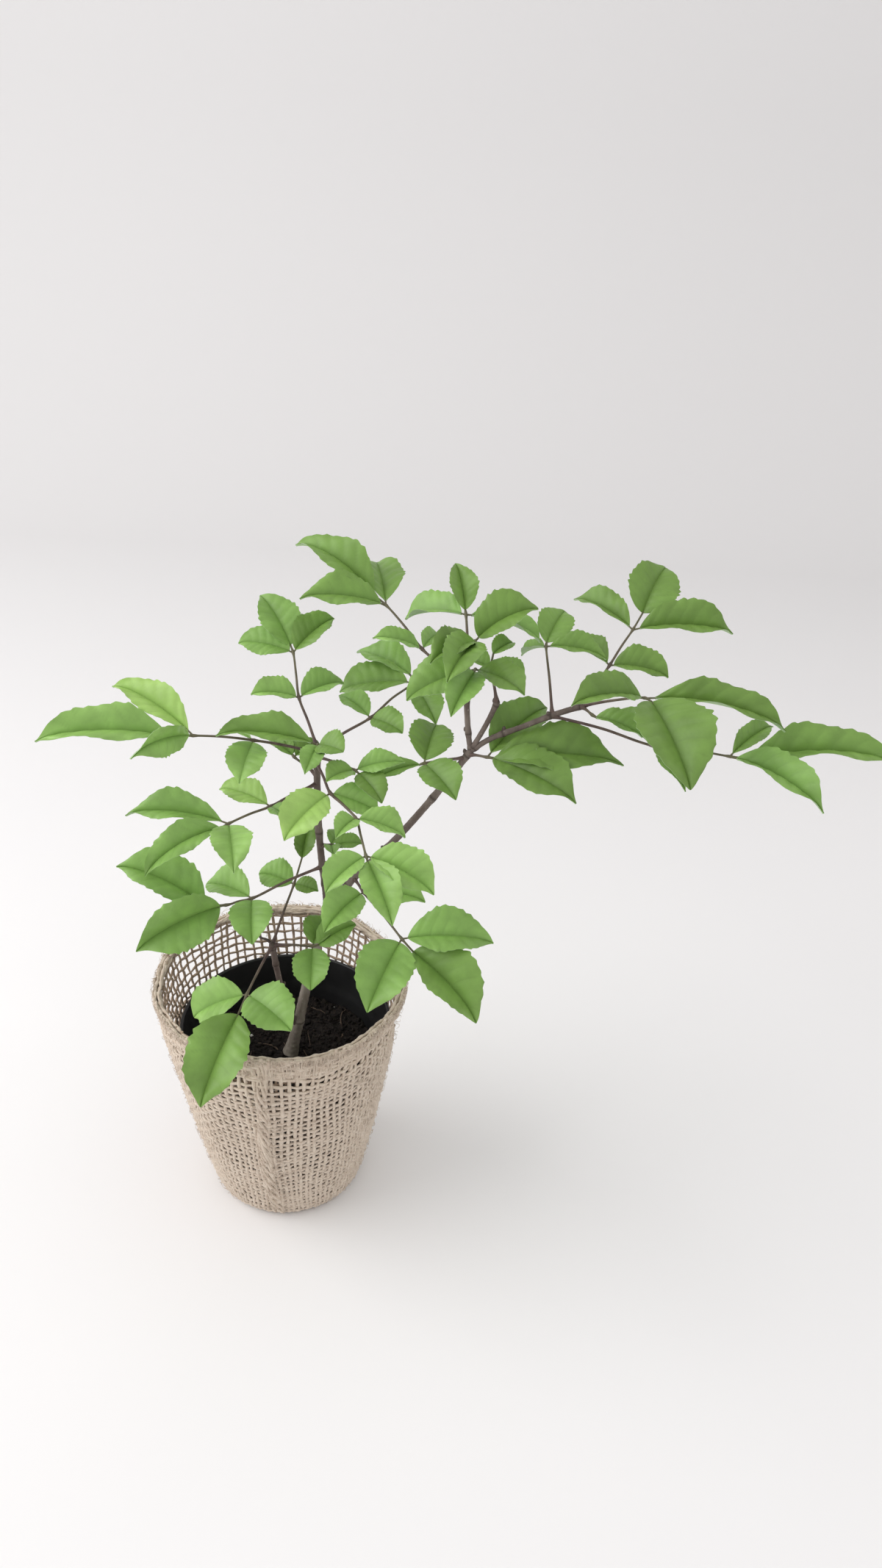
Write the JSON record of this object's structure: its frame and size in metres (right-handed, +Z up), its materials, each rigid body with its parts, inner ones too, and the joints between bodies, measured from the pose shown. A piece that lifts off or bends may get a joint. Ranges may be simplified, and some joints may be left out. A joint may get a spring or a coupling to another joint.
{
  "type": "sapling in a burlap-wrapped pot",
  "caption": "Young broadleaved tree with a leaning stem, a long forked side bough and compound leaves, in a thin nursery pot that stands in an open jute sleeve.",
  "frame": {"origin": "centre of the sleeve's flat underside, on the surface that the plant stands on", "axes": "+Z up, +X to the side that the long forked bough reaches, -Y to the side of the sleeve's gathered seam"},
  "size_m": [0.3632, 0.1758, 0.3229],
  "materials": {
    "jute": "open plain-woven jute, dry and fibrous",
    "pot_plastic": "thin black moulded plastic, satin",
    "soil": "dark crumbly potting soil with fine roots",
    "bark": "smooth young grey-brown bark with small pores",
    "twig": "smooth grey-brown twig with leaf scars",
    "leaf": "thin satin leaf, paler below, with pale veins"
  },
  "bodies": {
    "root": {"burlap_sleeve": "jute", "nursery_pot": "pot_plastic", "root_ball": "soil", "trunk": "bark", "leader": "twig", "right_bough": "twig", "right_upright": "twig", "right_middle": "twig", "right_outer": "twig", "low_shoot": "twig", "foliage_low_front": "leaf", "foliage_low_right": "leaf", "foliage_low_back": "leaf", "foliage_low_left": "leaf", "foliage_leader_mid": "leaf", "foliage_left_upper": "leaf", "foliage_left_lower": "leaf", "foliage_left_inner": "leaf", "foliage_leader_top": "leaf", "foliage_leader_tip": "leaf", "foliage_centre_back": "leaf", "foliage_centre_front": "leaf", "foliage_centre_right": "leaf", "foliage_front_right": "leaf", "foliage_fork_left": "leaf", "foliage_fork_right": "leaf", "foliage_crown_back": "leaf", "foliage_crown_top": "leaf", "foliage_crown_middle": "leaf", "foliage_crown_front": "leaf", "foliage_middle": "leaf", "foliage_right_up": "leaf", "foliage_right_back": "leaf", "foliage_right_front": "leaf", "foliage_right_under": "leaf", "foliage_right_tip": "leaf"}
  },
  "joints": []
}
